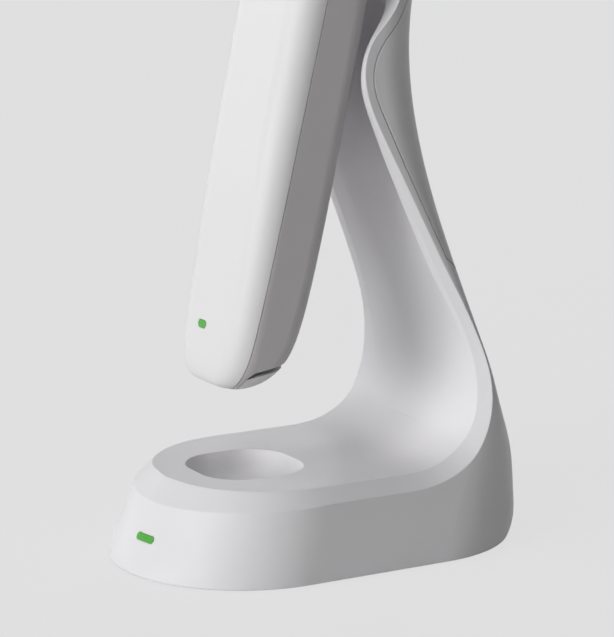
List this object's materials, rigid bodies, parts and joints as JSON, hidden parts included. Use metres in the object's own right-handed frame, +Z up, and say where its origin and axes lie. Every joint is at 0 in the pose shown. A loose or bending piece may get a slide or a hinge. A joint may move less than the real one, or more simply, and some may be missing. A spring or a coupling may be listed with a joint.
{
  "type": "intraoral scanner",
  "caption": "Wireless dental scanner handset with a pull-off mirror tip, hanging by its heel on a white charging stand with a pocketed oval base and a forward-leaning eared upright.",
  "frame": {"origin": "on the table under the middle of the base's width, at the rubber pad's underside", "axes": "+Z up, -Y towards the stand's rounded front, +X to the viewer's right when facing the front"},
  "size_m": [0.1004, 0.1609, 0.3582],
  "materials": {
    "stand_plastic": "fine satin",
    "handset_plastic": "fine satin",
    "dark_plastic": "matte",
    "pad_rubber": "matte",
    "screw_steel": "plain",
    "weight_steel": "plain",
    "circuit_board": "satin",
    "socket_metal": "satin",
    "green_light": "lit",
    "contact_gold": "polished",
    "frame_plastic": "matte",
    "battery_sleeve": "satin",
    "button_plastic": "satin",
    "optics_aluminium": "machined",
    "nose_plastic": "matte",
    "window_glass": "clear",
    "tip_plastic": "satin",
    "mirror_glass": "polished"
  },
  "bodies": {
    "stand_and_handset": {"stand_shell": "stand_plastic", "stand_back_cover": "stand_plastic", "front_shell": "handset_plastic", "rear_shell": "handset_plastic", "tail_cap": "handset_plastic", "base_plate": "dark_plastic", "rubber_pad": "pad_rubber", "base_screws": "screw_steel", "ballast_weight": "weight_steel", "charge_board": "circuit_board", "power_socket": "socket_metal", "stand_light": "green_light", "contact_board": "circuit_board", "charge_pins": "contact_gold", "charge_pads": "contact_gold", "handset_light": "green_light", "inner_frame": "frame_plastic", "main_board": "circuit_board", "wireless_board": "circuit_board", "battery_pack": "battery_sleeve", "button_switch": "dark_plastic", "optical_frame": "optics_aluminium", "left_camera": "dark_plastic", "right_camera": "dark_plastic", "projector": "dark_plastic", "nose_sleeve": "nose_plastic", "nose_window": "window_glass"},
    "scan_button": {"scan_button": "button_plastic"},
    "tip": {"tip_sleeve": "tip_plastic", "tip_mirror": "mirror_glass"}
  },
  "joints": [
    {"name": "button_press", "type": "slide", "parent": "stand_and_handset", "child": "scan_button", "axis": [0, 0.9778, -0.2096], "range_m": [0, 0.0007], "stiffness_N_per_m": 900},
    {"name": "tip_pull", "type": "slide", "parent": "stand_and_handset", "child": "tip", "axis": [0, 0.2096, 0.9778], "range_m": [0, 0.06]}
  ]
}
